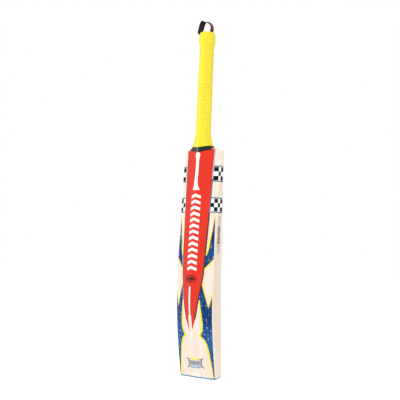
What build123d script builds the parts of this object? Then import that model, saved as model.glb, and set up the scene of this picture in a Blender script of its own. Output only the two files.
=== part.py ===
"""Full-size cricket bat: willow blade, spliced cane handle, grip, hang loop, toe guard, stickers.

Millimetres. +Z runs up the handle's axis, +X across the blade to the right as seen from behind,
and +Y towards the striking face. The origin is on the handle's axis, 2 mm above the heel of the toe.
"""

from build123d import *
import math
import os

os.makedirs("parts", exist_ok=True)

# Blade
blade_half_width = 54.0  # the laws of the game allow a blade 108 wide
toe_half_width = 52.3
toe_taper_height = 110.0  # the sides start to draw in this far above the toe
face_crown = 1.4
face_corner_radius = 3.0
back_corner_radius = 4.5
crest_slope = 0.2  # fall of the spine's crest over its half-width

# The face's long edges lean away from the handle's axis, and bow forward in the middle
face_y_at_top = 16.2
face_lean = 30.2
lean_top_z = 560.0
bow_depth = 5.3
bow_centre_z = 290.0
bow_half_span = 270.0

# height, edge thickness, spine thickness, hollow of the flank, half-width of the spine's crest
blade_stations = [
    (-15.0, 25.6, 26.6, -0.6, 16.0),
    (60.0, 33.2, 42.0, -1.0, 11.0),
    (100.0, 36.8, 50.2, -1.6, 8.5),
    (150.0, 39.4, 58.9, -2.0, 6.5),
    (200.0, 39.3, 60.4, -1.2, 5.0),
    (280.0, 35.1, 54.4, -0.8, 4.5),
    (360.0, 28.5, 48.4, -0.2, 4.5),
    (440.0, 22.8, 42.8, 0.3, 4.5),
    (520.0, 17.2, 37.4, 0.3, 5.0),
    (575.0, 13.8, 35.4, 0.3, 6.0),
    (615.0, 13.2, 35.2, 0.3, 6.0),
]

# Toe: cut square to the blade, so it tilts with the lean and the bow
toe_tilt = 5.6
toe_heel_y = 23.6
toe_heel_z = -2.0
toe_side_height = 60.0  # height of the point where the toe's side meets the blade's
toe_side_reach = 4.0
toe_corner_radius = 4.5
toe_front = 25.1  # from the heel to the face, along the toe
toe_front_radius = 7.0
toe_guard_thickness = 3.4

# Shoulders and neck
shoulder_end_z = 550.4
shoulder_root_z = 556.4
shoulder_root_x = 35.0
shoulder_corner_radius = 8.0
neck_top_z = 600.0
neck_height = 44.0
neck_flare = 6.6
neck_curl = 10.6  # the flare's last and sharpest part
neck_forward = 6.0  # at its foot the neck is widest this far in front of the handle's axis
neck_spine_rise = 3.3
neck_bottom_z = 549.0
neck_sections = 9

# Handle
handle_top_z = 843.0
core_x_top = 14.3
core_y_top = 15.5
core_x_bottom = 15.3
core_y_bottom = 16.2
binding_thickness = 0.8
spring_thickness = 1.2
spring_pitch = 7.0

# V splice of the handle into the blade
splice_half_width = 13.6
splice_tip_half_width = 1.5
splice_tip_z = 430.0

# Tape round the foot of the grip
tape_thickness = 0.5
tape_top_z = 563.2
tape_bottom_z = 552.5
tape_reach = 26.0  # front-to-back distance at which the drops below are measured
tape_top_drop = 6.8  # the tape dips over the spine and over the face
tape_bottom_drop = 13.0
tape_skirt = 2.5  # how far the tape spreads from the neck over the shoulders

# Grip
rim_z = 850.5
grip_wall = 2.0
grip_foot_wall = 1.0
grip_foot_z = 550.0
grip_foot_height = 22.0
rib_pitch = 5.6
rib_height = 0.7
cuff_height = 38.0
cuff_swell = 2.7
cuff_rise = 11.0
rim_height = 10.0  # the cuff rounds over inwards in its last 10
rim_width = 5.6
rim_steps = 6
mouth_x = 13.9
mouth_y = 14.6
binding_top_z = 842.0

# Hang loop: a flat strap whose two legs come out of the grip's mouth
strap_thickness = 1.4
strap_half_width = 7.0
root_half_width = 3.2
strap_spread = 0.26  # growth of the strap's half-width for each mm above its roots
hinge_z = 854.1
leg_x = 11.4  # middle of each leg's thickness at its root
loop_corners = [(16.0, 14.0), (8.0, 25.5), (-11.5, 29.5), (-21.0, 19.5), (-19.5, 9.5)]  # above the roots
loop_bend_radius = 5.0
leg_rise = 4.8  # the legs stand straight up for this far before they bend
tail_gap = 0.15
tail_bottom_z = 818.0

# Stickers
sticker_thickness = 0.35
spine_outline = [
    (41.2, 560.0),
    (39.8, 500.0),
    (37.0, 400.0),
    (34.3, 318.0),
    (32.4, 272.0),
    (30.9, 242.0),
    (25.6, 207.0),
    (18.3, 161.0),
    (14.3, 143.0),
    (4.0, 111.5),
    (0.6, 96.0),
]
upper_panel = [(49.2, 396.0), (50.6, 344.0), (52.4, 283.0), (32.2, 258.0), (33.0, 290.0)]
lower_panel = [
    (29.6, 230.5),
    (43.6, 172.5),
    (51.4, 205.5),
    (50.8, 66.0),
    (50.4, 2.0),
    (46.1, 2.0),
    (41.8, 31.0),
    (37.1, 65.0),
    (33.7, 80.5),
    (28.2, 91.8),
    (17.9, 101.0),
    (25.4, 116.0),
    (26.9, 130.0),
    (24.5, 157.0),
    (22.1, 187.0),
]
slot_span = (108.0, 219.5)  # the blade shows through a slot in the lower spine sticker
slot_half_width = 2.6
badge_size = (52.4, 26.4)
badge_centre = (-0.1, 34.2)
badge_turn = 2.4
label_size = (25.0, 6.8)
label_centre = (0.0, 6.2)
edge_strip_span = (296.0, 396.0)
edge_strip_width = 14.0
edge_strip_set_back = 2.0  # from the middle of the edge, towards the spine
chequer_spans = {"lower": (398.0, 435.2), "upper": (473.8, 513.2)}
sticker_gap = 0.3

big = 200.0  # reach of a cutting block


def face_y(z):
    """Front-to-back place of the face's long edges at height z."""
    z = min(z, lean_top_z)
    lean = face_lean * (lean_top_z - z) / lean_top_z
    bow = bow_depth * (((z - bow_centre_z) / bow_half_span) ** 2 - 1)
    return face_y_at_top + lean + bow


def outer_pair(points):
    """The points of a mirrored outline that aren't on its middle line."""
    return points.filter_by(lambda point: abs(point.X) > 1)


def edge_middle(z):
    """Front-to-back place of the middle of the blade's edge at height z."""
    for (z0, edge0, *_), (z1, edge1, *_) in zip(blade_stations, blade_stations[1:]):
        if z0 <= z <= z1:
            edge = edge0 + (edge1 - edge0) * (z - z0) / (z1 - z0)
    return face_y(z) - edge / 2


def half_width(z):
    """Half the blade's width at height z: parallel, then drawn in towards the toe."""
    drop = max(0.0, (toe_taper_height - z) / toe_taper_height)
    return blade_half_width - (blade_half_width - toe_half_width) * drop**2


def core_size(z, grow=0.0):
    """Half-widths in X and Y of the bare handle at height z, grown outwards by grow."""
    up = (z - neck_top_z) / (handle_top_z - neck_top_z)
    x = core_x_bottom + (core_x_top - core_x_bottom) * up
    y = core_y_bottom + (core_y_top - core_y_bottom) * up
    return x + grow, y + grow


def neck_oval(z, grow=0.0):
    """The neck's cross-section at height z: widest near the face, drawn out towards the spine."""
    down = max(0.0, (neck_top_z - z) / neck_height)
    x, y = core_size(max(z, neck_top_z), binding_thickness + grow)
    x += neck_flare * down + neck_curl * down**4
    widest = neck_forward * down
    with BuildSketch() as oval:
        with BuildLine():
            EllipticalCenterArc((0, widest), x, y - widest, 0, arc_size=180)
            EllipticalCenterArc((0, widest), x, y + widest + neck_spine_rise * down, 180, arc_size=180)
        make_face()
    return oval.sketch


def corner(x, y, radius, start, end):
    """A rounded corner about the centre (x, y), from one angle to another in degrees."""
    angles = [math.radians(a) for a in (start, (start + end) / 2, end)]
    return ThreePointArc(*[(x + radius * math.cos(a), y + radius * math.sin(a)) for a in angles])


def blade_outline(z, edge, spine, hollow, crest, grow):
    """Draws the blade's closed cross-section at height z, grown outwards by grow."""
    front = face_y(z) + grow
    back = face_y(z) - edge - grow
    ridge = face_y(z) - spine - grow
    side = half_width(z) + grow
    front_radius = face_corner_radius + grow
    back_radius = back_corner_radius + grow
    front_x = side - front_radius
    back_x = side - back_radius
    crest_y = ridge + crest * crest_slope
    flank = ((back_x + crest) / 2, (back + crest_y) / 2 + hollow)
    for hand in (1, -1):
        edge_angle = 90 - hand * 90
        corner(hand * front_x, front - front_radius, front_radius, 90, edge_angle)
        Line((hand * side, front - front_radius), (hand * side, back + back_radius))
        corner(hand * back_x, back + back_radius, back_radius, edge_angle, 90 - hand * 180)
        ThreePointArc((hand * back_x, back), (hand * flank[0], flank[1]), (hand * crest, crest_y))
    ThreePointArc((-crest, crest_y), (0, ridge), (crest, crest_y))
    ThreePointArc((-front_x, front), (0, front + face_crown), (front_x, front))


def plan_form(grow):
    """A block with the blade's outline as seen from behind, and the flared neck on top of it."""
    side = blade_half_width + grow
    root_z = shoulder_root_z + grow
    with BuildPart() as plan:
        with BuildSketch(Plane.XZ) as outline:
            with BuildLine():
                shoulder = (side, shoulder_end_z + grow)
                Polyline((0, -big), (side, -big), shoulder, (shoulder_root_x, root_z), (0, root_z))
                mirror(about=Plane.YZ)
            make_face()
            fillet(outline.vertices().group_by(Axis.Y)[1], radius=shoulder_corner_radius)
        extrude(amount=big, both=True)
        neck_step = (neck_top_z - neck_bottom_z) / neck_sections
        for level in range(neck_sections + 1):
            z = neck_bottom_z + neck_step * level
            with BuildSketch(Plane.XY.offset(z)):
                add(neck_oval(z, grow))
        loft()
    return plan.part


def willow_form(grow=0.0):
    """The blade's whole outer form with its shoulders and neck, grown outwards by grow."""
    plan = plan_form(grow)
    with BuildPart() as form:
        for z, edge, spine, hollow, crest in blade_stations:
            with BuildSketch(Plane.XY.offset(z)):
                with BuildLine():
                    blade_outline(z, edge, spine, hollow, crest, grow)
                make_face()
        loft()
        add(plan, mode=Mode.INTERSECT)
    return form.part


def tilted_plane(x_dir, height=0.0):
    """A plane square to the blade's length at the toe, raised by height along the blade."""
    tilt = math.radians(toe_tilt)
    up = (0, -math.sin(tilt), math.cos(tilt))
    return Plane(origin=(0, toe_heel_y, toe_heel_z), x_dir=x_dir, z_dir=up).offset(height)


def save(part, name):
    """Labels a finished piece and writes it under its own name."""
    part.label = name
    export_step(part, f"parts/{name}.step")
    print(name, "valid", part.is_valid, "solids", len(part.solids()), "volume", round(part.volume))


def handle_oval(start_z, end_z, grow=0.0):
    """The handle's oval form between two heights, grown outwards by grow."""
    with BuildPart() as oval:
        for z in (start_z, end_z):
            with BuildSketch(Plane.XY.offset(z)):
                Ellipse(*core_size(z, grow))
        loft()
    return oval.part


willow = willow_form()
sticker_form = willow_form(sticker_thickness)
tape_form = willow_form(tape_thickness)
core = handle_oval(neck_top_z, handle_top_z)

# The blade with its toe cut square and its corners rounded, before the splice is sawn
toe_square = tilted_plane((1, 0, 0))
along_blade = Plane(origin=toe_square.origin, x_dir=(1, 0, 0), z_dir=-toe_square.y_dir)
across_blade = Plane(origin=toe_square.origin, x_dir=toe_square.y_dir, z_dir=(1, 0, 0))
with BuildPart() as toe_trimmed:
    add(willow)
    with BuildSketch(along_blade.offset(-big)) as toe_outline:
        with BuildLine():
            toe_corner = (toe_half_width, 0)
            side_foot = (toe_half_width + toe_side_reach, toe_side_height)
            outer_foot = (big, toe_side_height)
            Polyline((0, 0), toe_corner, side_foot, outer_foot, (big, 4 * big), (0, 4 * big))
            mirror(about=Plane.YZ)
        make_face()
        fillet(outer_pair(toe_outline.vertices().group_by(Axis.Y)[0]), radius=toe_corner_radius)
    extrude(amount=2 * big, mode=Mode.INTERSECT)
    with BuildSketch(across_blade.offset(-big)):
        with Locations((toe_front, 0)):
            Rectangle(2 * toe_front_radius, 2 * toe_front_radius)
        with Locations((toe_front - toe_front_radius, toe_front_radius)):
            Circle(toe_front_radius, mode=Mode.SUBTRACT)
    extrude(amount=2 * big, mode=Mode.SUBTRACT)

# Willow blade, with the V socket that takes the handle
with BuildPart() as splice_wedge:
    with BuildSketch(Plane.XZ.offset(-big)):
        with BuildLine():
            tip = (splice_tip_half_width, splice_tip_z)
            mouth = (splice_half_width, neck_top_z)
            Polyline((0, splice_tip_z), tip, mouth, (0, neck_top_z))
            mirror(about=Plane.YZ)
        make_face()
    extrude(amount=2 * big)
with BuildPart() as blade:
    add(toe_trimmed.part)
    add(splice_wedge.part, mode=Mode.SUBTRACT)
    with BuildSketch(tilted_plane((1, 0, 0), toe_guard_thickness)):
        Rectangle(big, big)
    extrude(amount=-big, mode=Mode.SUBTRACT)
save(blade.part, "blade")

# Toe guard: rubber sheet glued over the whole of the toe
with BuildPart() as toe_guard:
    add(toe_trimmed.part)
    with BuildSketch(tilted_plane((1, 0, 0), toe_guard_thickness)):
        Rectangle(big, big)
    extrude(amount=-big, mode=Mode.INTERSECT)
save(toe_guard.part, "toe_guard")

# Handle: four slips of cane with three strips of rubber between them, tapering into the V
with BuildPart() as handle:
    add(willow)
    add(splice_wedge.part, mode=Mode.INTERSECT)
    add(core)
spring_middles = [-spring_pitch, 0, spring_pitch]
half_spring = spring_thickness / 2
spring_spans = [(x - half_spring, x + half_spring) for x in spring_middles]
cane_bounds = [-big] + [x for span in spring_spans for x in span] + [big]
cane_spans = list(zip(cane_bounds[0::2], cane_bounds[1::2]))
for stem, spans in (("cane_section", cane_spans), ("rubber_spring", spring_spans)):
    for number, (left, right) in enumerate(spans, 1):
        with BuildPart() as slip:
            add(handle.part)
            with BuildSketch(Plane.YZ.offset(left)):
                Rectangle(2 * big, 8 * big)
            extrude(amount=right - left, mode=Mode.INTERSECT)
        save(slip.part, f"{stem}_{number}")

# Twine binding: one sleeve for all its turns
with BuildPart() as twine_binding:
    add(handle_oval(neck_top_z, binding_top_z, binding_thickness))
    add(core, mode=Mode.SUBTRACT)
save(twine_binding.part, "twine_binding")


def tape_band(top, bottom):
    """A wide block between two arcs seen from the side, which dip over the spine and over the face."""
    head = top - tape_top_drop
    upper = [(-tape_reach, head), (0, top), (tape_reach, head)]
    foot = bottom - tape_bottom_drop
    lower = [(-tape_reach, foot), (0, bottom), (tape_reach, foot)]
    with BuildPart() as band:
        with BuildSketch(Plane.YZ.offset(-big)):
            with BuildLine():
                ThreePointArc(*upper)
                ThreePointArc(*lower)
                Line(upper[0], lower[0])
                Line(upper[2], lower[2])
            make_face()
        extrude(amount=2 * big)
    return band.part


# Shoulder tape: a band round the neck that seals the grip's foot
with BuildPart() as shoulder_tape:
    add(tape_form)
    add(tape_band(tape_top_z, tape_bottom_z), mode=Mode.INTERSECT)
    with BuildSketch(Plane.XY.offset(neck_bottom_z - big)):
        add(neck_oval(shoulder_root_z, tape_skirt))
    extrude(amount=2 * big, mode=Mode.INTERSECT)
    add(willow, mode=Mode.SUBTRACT)
save(shoulder_tape.part, "shoulder_tape")


# Tails of the hang loop: tucked down the handle under the cuff, bent in over its end, then up
tail_x, tail_y = core_size(tail_bottom_z, binding_thickness + tail_gap)
tail_top_z = handle_top_z + tail_gap + strap_thickness
lug_x = leg_x + strap_thickness / 2 + tail_gap
with BuildPart() as tail:
    with BuildSketch(Plane.XY.offset(tail_bottom_z)):
        Ellipse(tail_x + strap_thickness, tail_y + strap_thickness)
        Ellipse(tail_x, tail_y, mode=Mode.SUBTRACT)
        with Locations((tail_x, 0)):
            Rectangle(tail_x, 2 * strap_half_width, mode=Mode.INTERSECT)
    extrude(amount=tail_top_z - tail_bottom_z)
    with BuildSketch(Plane.XY.offset(tail_top_z)):
        Ellipse(tail_x + strap_thickness, tail_y + strap_thickness)
        with Locations((lug_x + tail_x / 2, 0)):
            Rectangle(tail_x, 2 * root_half_width, mode=Mode.INTERSECT)
    extrude(amount=-strap_thickness)
    with BuildSketch(Plane.YZ.offset(lug_x)):
        with Locations((0, hinge_z)):
            Circle(root_half_width)
        with Locations((0, hinge_z)):
            lug_height = hinge_z - tail_top_z + strap_thickness
            Rectangle(2 * root_half_width, lug_height, align=(Align.CENTER, Align.MAX))
    extrude(amount=strap_thickness)
right_tail = tail.part
left_tail = mirror(right_tail, about=Plane.YZ)
save(right_tail, "loop_tail_right")
save(left_tail, "loop_tail_left")


def grip_wall_at(z):
    """Thickness of the grip over the handle at height z, without its ribs."""
    foot = min(1.0, max(0.0, (z - neck_top_z + neck_height) / grip_foot_height))
    wall = grip_foot_wall + (grip_wall - grip_foot_wall) * foot
    rise = min(1.0, max(0.0, (z - rim_z + cuff_height) / cuff_rise))
    wall += cuff_swell * (1 - math.cos(math.pi * rise)) / 2
    into_rim = max(0.0, z - rim_z + rim_height) / rim_height
    return wall - rim_width * (1 - math.sqrt(1 - into_rim**2))


# Grip: one rubber sleeve with rings of ribs, a thick cuff at the top and a flared foot
rib_count = int((rim_z - rim_height - grip_foot_z) / rib_pitch)
half_pitch = rib_pitch / 2
ring_levels = [(grip_foot_z + half_pitch * n, rib_height / 2 * (-1) ** n) for n in range(2 * rib_count)]
rim_angles = [math.radians(90 * step / rim_steps) for step in range(rim_steps + 1)]
rim_levels = [(rim_z - rim_height * (1 - math.sin(angle)), 0) for angle in rim_angles]
with BuildPart() as grip:
    for z, rib in ring_levels + rim_levels:
        with BuildSketch(Plane.XY.offset(z)):
            add(neck_oval(z, grip_wall_at(z) + rib))
    loft(ruled=True)
    add(tape_band(tape_top_z, tape_bottom_z - big), mode=Mode.SUBTRACT)
    add(willow, mode=Mode.SUBTRACT)
    add(twine_binding.part, mode=Mode.SUBTRACT)
    add(core, mode=Mode.SUBTRACT)
    for tail in (right_tail, left_tail):
        add(tail, mode=Mode.SUBTRACT)
    with BuildSketch(Plane.XY.offset(handle_top_z)):
        Ellipse(mouth_x, mouth_y)
    extrude(amount=big, mode=Mode.SUBTRACT)
save(grip.part, "grip")


# Hang loop: one strap bent into an eye, its legs narrowing to round roots
foot_z = hinge_z - root_half_width
leg_bends = [(leg_x, leg_rise)] + loop_corners + [(-leg_x, leg_rise)]
with BuildPart() as hang_loop:
    with BuildLine(Plane.XZ) as strap_path:
        raised = [(x, hinge_z + z) for x, z in leg_bends]
        FilletPolyline((leg_x, foot_z), *raised, (-leg_x, foot_z), radius=loop_bend_radius)
    with BuildSketch(Plane.XY.offset(foot_z)):
        with Locations((leg_x, 0)):
            Rectangle(strap_thickness, 2 * strap_half_width + 2)
    sweep(path=strap_path.line)
    with BuildSketch(Plane.YZ.offset(-big)):
        with BuildLine():
            widening = (strap_half_width - root_half_width) / strap_spread
            root = (root_half_width, hinge_z)
            full = (strap_half_width, hinge_z + widening)
            top = (strap_half_width, hinge_z + big)
            Polyline((0, hinge_z), root, full, top, (0, top[1]))
            mirror(about=Plane.YZ)
        make_face()
        with Locations((0, hinge_z)):
            Circle(root_half_width)
    extrude(amount=2 * big, mode=Mode.INTERSECT)
save(hang_loop.part, "hang_loop")


def sticker(outline, under=None):
    """Vinyl skin on the blade's back and edges: the grown form inside an outline drawn from behind."""
    front = face_y(outline.bounding_box().max.Y) - face_corner_radius
    with BuildPart() as skin:
        add(sticker_form)
        with BuildSketch(Plane.XZ.offset(-front)):
            add(outline)
        extrude(amount=big, mode=Mode.INTERSECT)
        add(willow, mode=Mode.SUBTRACT)
        if under:
            add(under, mode=Mode.SUBTRACT)
    return skin.part


def polygon(points, closed_on_middle=False):
    """A flat outline through the points, closed across the blade's middle line if asked."""
    with BuildSketch() as outline:
        with BuildLine():
            if closed_on_middle:
                Polyline((0, points[0][1]), *points, (0, points[-1][1]))
                mirror(about=Plane.YZ)
            else:
                Polyline(*points, close=True)
        make_face()
    return outline.sketch


above_tape_foot = tape_band(tape_top_z + big, tape_bottom_z)
with BuildSketch() as spine_shape:
    add(polygon(spine_outline, True))
    with Locations((0, sum(slot_span) / 2)):
        SlotOverall(slot_span[1] - slot_span[0], 2 * slot_half_width, rotation=90, mode=Mode.SUBTRACT)
spine_sticker = sticker(spine_shape.sketch, above_tape_foot)
save(spine_sticker, "spine_sticker")
for name, points in (("upper", upper_panel), ("lower", lower_panel)):
    with BuildPart() as panel:
        add(sticker(polygon(points)))
        add(spine_sticker, mode=Mode.SUBTRACT)
    save(panel.part, f"flank_panel_{name}_right")
    save(mirror(panel.part, about=Plane.YZ), f"flank_panel_{name}_left")

# Chequer wraps: from the spine sticker round the back corner and across the edge
for name, (low, high) in chequer_spans.items():
    middle = (low + high) / 2
    with BuildSketch() as wrap_outline:
        with Locations((blade_half_width, middle)):
            Rectangle(blade_half_width, high - low)
    with BuildPart() as wrap:
        add(sticker(wrap_outline.sketch))
        with BuildSketch(Plane.XZ):
            add(polygon(spine_outline, True))
            offset(amount=sticker_gap)
        extrude(amount=big, both=True, mode=Mode.SUBTRACT)
    save(wrap.part, f"chequer_wrap_{name}_right")
    save(mirror(wrap.part, about=Plane.YZ), f"chequer_wrap_{name}_left")

# Toe badge and toe label
with BuildSketch() as badge_outline:
    with Locations(Location(badge_centre, badge_turn)):
        Rectangle(*badge_size)
save(sticker(badge_outline.sketch), "toe_badge")
with BuildSketch() as label_outline:
    with Locations(label_centre):
        Rectangle(*label_size)
save(sticker(label_outline.sketch), "toe_label")

# Edge strip: a narrow label along the middle of the +X edge
with BuildPart() as edge_strip:
    add(sticker_form)
    with BuildSketch(Plane.YZ):
        half_strip = edge_strip_width / 2
        low_z, high_z = edge_strip_span
        low_y, high_y = (edge_middle(z) - edge_strip_set_back for z in edge_strip_span)
        with BuildLine():
            Polyline(
                (low_y - half_strip, low_z),
                (low_y + half_strip, low_z),
                (high_y + half_strip, high_z),
                (high_y - half_strip, high_z),
                close=True,
            )
        make_face()
    extrude(amount=big, mode=Mode.INTERSECT)
    add(willow, mode=Mode.SUBTRACT)
save(edge_strip.part, "edge_strip")
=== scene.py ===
import math

import bpy
from mathutils import Matrix, Vector
from mathutils.bvhtree import BVHTree
from mathutils.geometry import delaunay_2d_cdt
from mathutils.interpolate import poly_3d_calc


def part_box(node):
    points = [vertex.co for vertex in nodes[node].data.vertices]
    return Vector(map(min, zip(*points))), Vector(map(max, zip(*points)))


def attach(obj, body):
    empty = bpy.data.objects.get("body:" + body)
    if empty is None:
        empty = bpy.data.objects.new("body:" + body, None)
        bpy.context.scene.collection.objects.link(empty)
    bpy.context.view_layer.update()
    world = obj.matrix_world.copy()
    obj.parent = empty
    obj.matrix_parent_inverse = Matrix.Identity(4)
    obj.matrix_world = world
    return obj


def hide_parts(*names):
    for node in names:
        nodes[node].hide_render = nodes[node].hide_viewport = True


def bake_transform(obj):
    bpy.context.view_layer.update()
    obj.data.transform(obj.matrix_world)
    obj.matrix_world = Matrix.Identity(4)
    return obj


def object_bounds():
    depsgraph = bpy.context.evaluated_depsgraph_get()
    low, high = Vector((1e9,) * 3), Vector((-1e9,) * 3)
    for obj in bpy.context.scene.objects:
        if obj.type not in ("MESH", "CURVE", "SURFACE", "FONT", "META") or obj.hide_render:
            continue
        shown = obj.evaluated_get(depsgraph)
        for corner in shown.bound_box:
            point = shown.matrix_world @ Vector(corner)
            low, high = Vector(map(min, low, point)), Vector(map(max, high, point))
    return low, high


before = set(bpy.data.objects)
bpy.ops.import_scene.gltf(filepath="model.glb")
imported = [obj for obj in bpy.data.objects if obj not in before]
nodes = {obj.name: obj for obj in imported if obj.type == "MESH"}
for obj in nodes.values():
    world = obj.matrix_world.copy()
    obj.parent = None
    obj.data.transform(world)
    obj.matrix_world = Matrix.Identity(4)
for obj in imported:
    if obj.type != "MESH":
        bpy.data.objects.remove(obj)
cad_box = [list(corner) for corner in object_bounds()]

MM = 0.001
BAT = "bat"


# ---------------------------------------------------------------- materials


def colour(red, green, blue):
    """Linear colour for a 0 to 255 screen colour."""

    def linear(value):
        value /= 255
        return value / 12.92 if value <= 0.04045 else ((value + 0.055) / 1.055) ** 2.4

    return (linear(red), linear(green), linear(blue), 1.0)


class Finish:
    """A node material being put together, on the object's own coordinates in metres."""

    def __init__(self, name, roughness, coat=0.0, specular=0.5, sheen=0.0):
        self.material = bpy.data.materials.new(name)
        self.material.use_nodes = True
        self.tree = self.material.node_tree
        self.shader = self.tree.nodes["Principled BSDF"]
        self.wire(self.shader, {
            "Roughness": roughness,
            "Coat Weight": coat,
            "Coat Roughness": 0.12,
            "Specular IOR Level": specular,
            "Sheen Weight": sheen,
        })
        self.place = self.node("TexCoord").outputs["Object"]

    def wire(self, node, wires):
        for key, value in wires.items():
            if isinstance(value, bpy.types.NodeSocket):
                self.tree.links.new(value, node.inputs[key])
            else:
                node.inputs[key].default_value = value

    def node(self, kind, wires=None, **settings):
        made = self.tree.nodes.new("ShaderNode" + kind)
        for name, value in settings.items():
            setattr(made, name, value)
        self.wire(made, wires or {})
        return made

    def stretched(self, stretch, shift=(0.0, 0.0, 0.0)):
        return self.node("Mapping", {"Vector": self.place, "Scale": stretch, "Location": shift}).outputs[0]

    def noise(self, stretch, detail=2.0, roughness=0.5, shift=(0.0, 0.0, 0.0)):
        return self.node("TexNoise", {
            "Vector": self.stretched(stretch, shift),
            "Scale": 1.0,
            "Detail": detail,
            "Roughness": roughness,
        }).outputs["Fac"]

    def ramp(self, value, *stops):
        made = self.node("ValToRGB", {"Fac": value})
        elements = made.color_ramp.elements
        while len(elements) < len(stops):
            elements.new(1.0)
        for element, (position, paint) in zip(elements, stops):
            element.position = position
            element.color = paint if isinstance(paint, tuple) else (paint, paint, paint, 1.0)
        return made.outputs["Color"]

    def mix(self, amount, first, second, blend_type="MIX"):
        wires = {"Fac": amount, "Color1": first, "Color2": second}
        return self.node("MixRGB", wires, blend_type=blend_type).outputs["Color"]

    def math(self, operation, first, second=0.0):
        return self.node("Math", {0: first, 1: second}, operation=operation).outputs[0]

    def axis(self, letter):
        return self.node("SeparateXYZ", {"Vector": self.place}).outputs[letter]

    def bump(self, height, distance, strength=1.0):
        wires = {"Height": height, "Distance": distance, "Strength": strength}
        links = self.shader.inputs["Normal"].links
        if links:
            wires["Normal"] = links[0].from_socket
        self.wire(self.shader, {"Normal": self.node("Bump", wires).outputs["Normal"]})

    def paint(self, value):
        self.wire(self.shader, {"Base Color": value})

    def rough(self, value):
        self.wire(self.shader, {"Roughness": value})


def wood(name, pale, warm, line, ring_scale, streak_seed):
    """Clear-grained timber with rings seen edge-on as lines along the length, and fine fibres."""
    f = Finish(name, 0.5, coat=0.12)
    rings = f.node("TexWave", {
        "Vector": f.stretched((1.0, 0.35, 0.045), streak_seed),
        "Scale": ring_scale,
        "Distortion": 3.4,
        "Detail": 2.0,
        "Detail Scale": 0.6,
    }, wave_profile="SAW").outputs["Fac"]
    ring_line = f.ramp(rings, (0.0, 0.0), (0.72, 0.1), (0.95, 0.75), (1.0, 0.0))
    drift = f.noise((38.0, 38.0, 1.6), detail=3.0, shift=streak_seed)
    fibre = f.noise((1500.0, 1500.0, 24.0), detail=3.0, roughness=0.6)
    fleck = f.noise((900.0, 900.0, 95.0), detail=1.0, shift=streak_seed)
    base = f.mix(f.ramp(drift, (0.35, 0.0), (0.68, 1.0)), pale, warm)
    ringed = f.mix(f.math("MULTIPLY", ring_line, 0.55), base, line)
    fibred = f.mix(f.ramp(fibre, (0.45, 0.0), (0.8, 0.35)), ringed, line)
    f.paint(f.mix(f.ramp(fleck, (0.68, 0.0), (0.78, 0.45)), fibred, line))
    f.rough(f.ramp(fibre, (0.2, 0.42), (0.8, 0.6)))
    f.bump(fibre, 0.00012, 0.5)
    return f.material


def vinyl(name, paint, roughness=0.32, shade=0.82):
    """Printed sticker film: an even print with a little cloudiness, orange peel and a clear top layer."""
    f = Finish(name, roughness, coat=0.04, specular=0.18)
    cloud = f.noise((26.0, 26.0, 18.0), detail=3.0)
    dots = f.noise((2600.0, 2600.0, 2600.0), detail=1.0)
    darker = tuple(value * shade for value in paint[:3]) + (1.0,)
    f.paint(f.mix(f.ramp(cloud, (0.3, 0.0), (0.75, 1.0)), paint, darker))
    f.rough(f.ramp(dots, (0.3, roughness - 0.05), (0.7, roughness + 0.08)))
    f.bump(f.noise((420.0, 420.0, 420.0), detail=2.0), 0.00006, 0.35)
    return f.material


def splatter_vinyl():
    """Blue print in large facets, with navy blots, grey stains and pale flecks, lighter near the toe."""
    f = Finish("flank_blue", 0.4, coat=0.02, specular=0.14)
    height = f.math("ADD", f.axis("Z"), f.math("MULTIPLY", f.noise((24.0, 24.0, 18.0), detail=0.0), 0.03))
    low = f.ramp(f.math("MULTIPLY", height, 4.0), (0.54, 1.0), (0.62, 0.0))
    facets = f.node("TexVoronoi", {"Vector": f.stretched((34.0, 34.0, 26.0)), "Scale": 1.0}).outputs["Color"]
    facet = f.node("SeparateXYZ", {"Vector": facets}).outputs["X"]
    upper = f.mix(facet, colour(0, 54, 112), colour(0, 76, 144))
    lower = f.mix(facet, colour(12, 82, 150), colour(36, 108, 176))
    base = f.mix(low, upper, lower)
    blots = f.ramp(f.noise((150.0, 150.0, 120.0), detail=4.0, roughness=0.65), (0.5, 0.0), (0.62, 0.85))
    blotted = f.mix(blots, base, colour(7, 38, 92))
    stains = f.noise((210.0, 210.0, 150.0), detail=3.0, shift=(3.0, 1.0, 7.0))
    stained = f.mix(f.ramp(stains, (0.58, 0.0), (0.64, 0.8)), blotted, colour(112, 112, 118))
    chips = f.noise((260.0, 260.0, 150.0), detail=2.0, shift=(9.0, 4.0, 2.0))
    fleck = f.mix(low, f.ramp(chips, (0.67, 0.0), (0.69, 0.9)), f.ramp(chips, (0.655, 0.0), (0.675, 0.95)))
    f.paint(f.mix(fleck, stained, colour(226, 228, 214)))
    f.bump(f.noise((420.0, 420.0, 420.0), detail=2.0), 0.00006, 0.35)
    return f.material


def grip_rubber():
    """Moulded yellow rubber, with a painted highlight along the crests of its ribs and painted shade down in
    the grooves.
    """
    f = Finish("grip_yellow", 0.4, specular=0.4)
    wave = f.math("SINE", f.math("MULTIPLY", f.math("SUBTRACT", f.axis("Z"), RIB_PHASE), math.pi / RIB_PITCH))
    height = f.math("ABSOLUTE", wave)
    handled = f.noise((60.0, 60.0, 22.0), detail=3.0)
    base = f.mix(f.ramp(handled, (0.35, 0.0), (0.7, 0.6)), colour(250, 230, 28), colour(245, 219, 22))
    # painted highlight: a paler yellow along the crest of each rib
    crest_highlighted = f.mix(f.ramp(height, (0.7, 0.0), (1.0, 0.5)), base, colour(255, 244, 96))
    # painted shade: a deeper yellow down in the grooves between the ribs
    f.paint(f.mix(f.ramp(height, (0.0, 0.6), (0.5, 0.0)), crest_highlighted, colour(232, 190, 16)))
    f.rough(f.ramp(handled, (0.3, 0.36), (0.7, 0.46)))
    f.bump(handled, 0.0002, 0.3)
    return f.material


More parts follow.
